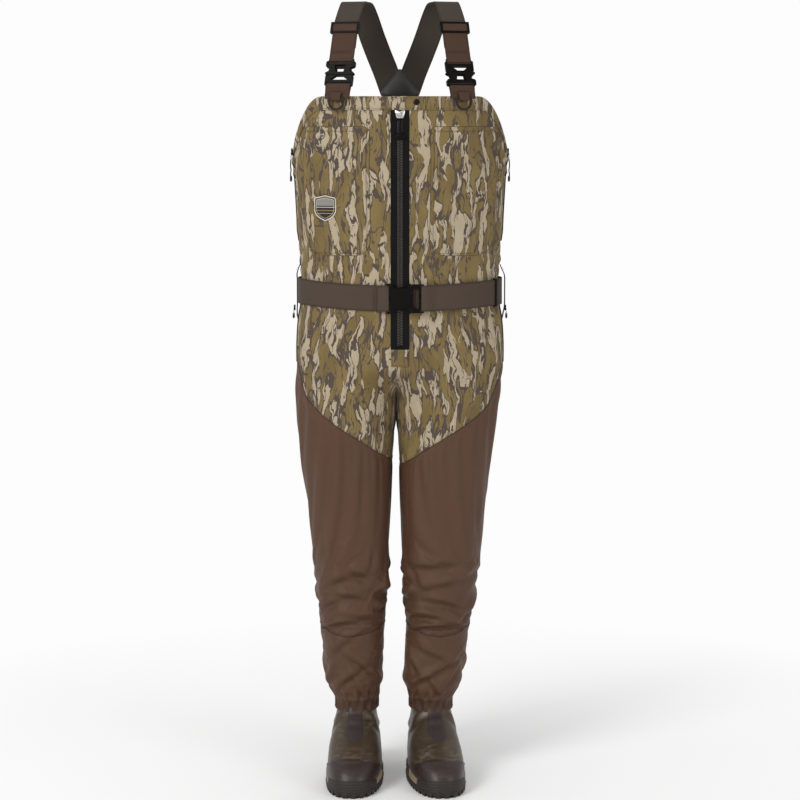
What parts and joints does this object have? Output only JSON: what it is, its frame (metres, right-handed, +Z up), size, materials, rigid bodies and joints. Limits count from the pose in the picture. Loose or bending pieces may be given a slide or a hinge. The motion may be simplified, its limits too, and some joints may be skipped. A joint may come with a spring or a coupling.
{
  "type": "chest waders",
  "caption": "Zip-front chest waders with jointed legs, rubber boots, webbing belt and adjustable shoulder straps with side-release buckles.",
  "frame": {"origin": "on the floor under the soles, at the middle of the object's box in plan", "axes": "+Z up; -Y is the way the wearer faces; +X is the wearer's left"},
  "size_m": [0.4314, 0.3154, 1.5339],
  "materials": {
    "printed_cloth": "satin",
    "leg_cloth": "satin",
    "belt_webbing": "ribbed",
    "strap_webbing": "ribbed",
    "strap_elastic": "ribbed",
    "boot_rubber": "satin",
    "toe_rubber": "satin",
    "midsole_foam": "matte",
    "sole_rubber": "matte",
    "black_plastic": "satin",
    "zip_coating": "coated",
    "slider_metal": "satin",
    "snap_metal": "gloss",
    "yoke_patch": "coated",
    "badge_weave": "woven"
  },
  "bodies": {
    "upper": {"front_panel_right": "printed_cloth", "front_panel_left": "printed_cloth", "back_panel": "printed_cloth", "hip_section": "printed_cloth", "hem_band_right": "printed_cloth", "hem_band_left": "printed_cloth", "chest_pocket_right": "printed_cloth", "chest_pocket_left": "printed_cloth", "zip_tape": "zip_coating", "zip_chain": "black_plastic", "zip_base_patch": "printed_cloth", "badge": "badge_weave", "belt_female_buckle": "black_plastic", "belt_webbing": "belt_webbing", "belt_loop_right": "strap_webbing", "belt_loop_left": "strap_webbing", "back_yoke": "yoke_patch", "back_anchor_strap": "strap_elastic", "shoulder_strap_right": "strap_elastic", "shoulder_strap_left": "strap_elastic", "anchor_webbing_right": "strap_webbing", "anchor_webbing_left": "strap_webbing", "lower_buckle_right": "black_plastic", "lower_buckle_left": "black_plastic"},
    "zip_slider_body": {"zip_slider": "slider_metal"},
    "zip_pull_body": {"zip_pull": "black_plastic"},
    "garage_tab_body": {"garage_tab": "printed_cloth", "snap_cap": "snap_metal"},
    "belt_release": {"belt_male_buckle": "black_plastic", "belt_tail_webbing": "belt_webbing", "belt_keeper": "black_plastic"},
    "d_ring_body_right": {"d_ring_right": "black_plastic"},
    "d_ring_body_left": {"d_ring_left": "black_plastic"},
    "triglide_body_right": {"triglide_right": "black_plastic"},
    "triglide_body_left": {"triglide_left": "black_plastic"},
    "strap_release_right": {"upper_buckle_right": "black_plastic", "webbing_loop_right": "strap_webbing"},
    "strap_release_left": {"upper_buckle_left": "black_plastic", "webbing_loop_left": "strap_webbing"},
    "side_zip_body_right": {"side_zip_pull_right": "black_plastic"},
    "side_zip_body_left": {"side_zip_pull_left": "black_plastic"},
    "hip_zip_body_right": {"hip_zip_pull_right": "black_plastic"},
    "hip_zip_body_left": {"hip_zip_pull_left": "black_plastic"},
    "thigh_body_right": {"leg_top_right": "printed_cloth", "thigh_right": "leg_cloth"},
    "thigh_body_left": {"leg_top_left": "printed_cloth", "thigh_left": "leg_cloth"},
    "shin_body_right": {"lower_leg_right": "leg_cloth", "cuff_right": "leg_cloth", "boot_right": "boot_rubber", "toe_cap_right": "toe_rubber", "midsole_right": "midsole_foam", "outsole_right": "sole_rubber"},
    "shin_body_left": {"lower_leg_left": "leg_cloth", "cuff_left": "leg_cloth", "boot_left": "boot_rubber", "toe_cap_left": "toe_rubber", "midsole_left": "midsole_foam", "outsole_left": "sole_rubber"}
  },
  "joints": [
    {"name": "main_zip", "type": "slide", "parent": "upper", "child": "zip_slider_body", "axis": [0, 0, -1], "range_m": [0, 0.27]},
    {"name": "zip_pull_swing", "type": "hinge", "parent": "zip_slider_body", "child": "zip_pull_body", "pos_m": [0, -0.0849, 1.3066], "axis": [-1, 0, 0], "range_deg": [0, 110]},
    {"name": "garage_tab_lift", "type": "hinge", "parent": "upper", "child": "garage_tab_body", "pos_m": [-0.035, -0.0823, 1.3385], "axis": [0, 0, -1], "range_deg": [0, 110]},
    {"name": "belt_buckle_release", "type": "slide", "parent": "upper", "child": "belt_release", "axis": [1, 0, 0], "range_m": [0, 0.03]},
    {"name": "d_ring_swing_right", "type": "hinge", "parent": "upper", "child": "d_ring_body_right", "pos_m": [-0.12199, -0.07529, 1.34777], "axis": [-0.9509, 0.3095, 0], "range_deg": [0, 80]},
    {"name": "d_ring_swing_left", "type": "hinge", "parent": "upper", "child": "d_ring_body_left", "pos_m": [0.12199, -0.07529, 1.34777], "axis": [-0.9509, -0.3095, 0], "range_deg": [0, 80]},
    {"name": "strap_adjust_right", "type": "slide", "parent": "upper", "child": "triglide_body_right", "axis": [0.1126, 0.352, 0.9292], "range_m": [-0.025, 0]},
    {"name": "strap_adjust_left", "type": "slide", "parent": "upper", "child": "triglide_body_left", "axis": [-0.1126, 0.352, 0.9292], "range_m": [-0.025, 0]},
    {"name": "strap_buckle_release_right", "type": "slide", "parent": "upper", "child": "strap_release_right", "axis": [0.1126, 0.352, 0.9292], "range_m": [0, 0.025]},
    {"name": "strap_buckle_release_left", "type": "slide", "parent": "upper", "child": "strap_release_left", "axis": [-0.1126, 0.352, 0.9292], "range_m": [0, 0.025]},
    {"name": "side_zip_right", "type": "slide", "parent": "upper", "child": "side_zip_body_right", "axis": [0, 0, -1], "range_m": [0, 0.15]},
    {"name": "side_zip_left", "type": "slide", "parent": "upper", "child": "side_zip_body_left", "axis": [0, 0, -1], "range_m": [0, 0.15]},
    {"name": "hip_zip_right", "type": "slide", "parent": "upper", "child": "hip_zip_body_right", "axis": [0, 0, -1], "range_m": [0, 0.1]},
    {"name": "hip_zip_left", "type": "slide", "parent": "upper", "child": "hip_zip_body_left", "axis": [0, 0, -1], "range_m": [0, 0.1]},
    {"name": "hip_bend_right", "type": "hinge", "parent": "upper", "child": "thigh_body_right", "pos_m": [-0.106, 0.0383, 0.85], "axis": [-1, 0, 0], "range_deg": [-10, 25]},
    {"name": "hip_bend_left", "type": "hinge", "parent": "upper", "child": "thigh_body_left", "pos_m": [0.097, 0.0383, 0.85], "axis": [-1, 0, 0], "range_deg": [-10, 25]},
    {"name": "knee_bend_right", "type": "hinge", "parent": "thigh_body_right", "child": "shin_body_right", "pos_m": [-0.099, 0.0383, 0.43], "axis": [1, 0, 0], "range_deg": [0, 45]},
    {"name": "knee_bend_left", "type": "hinge", "parent": "thigh_body_left", "child": "shin_body_left", "pos_m": [0.083, 0.0383, 0.43], "axis": [1, 0, 0], "range_deg": [0, 45]}
  ]
}
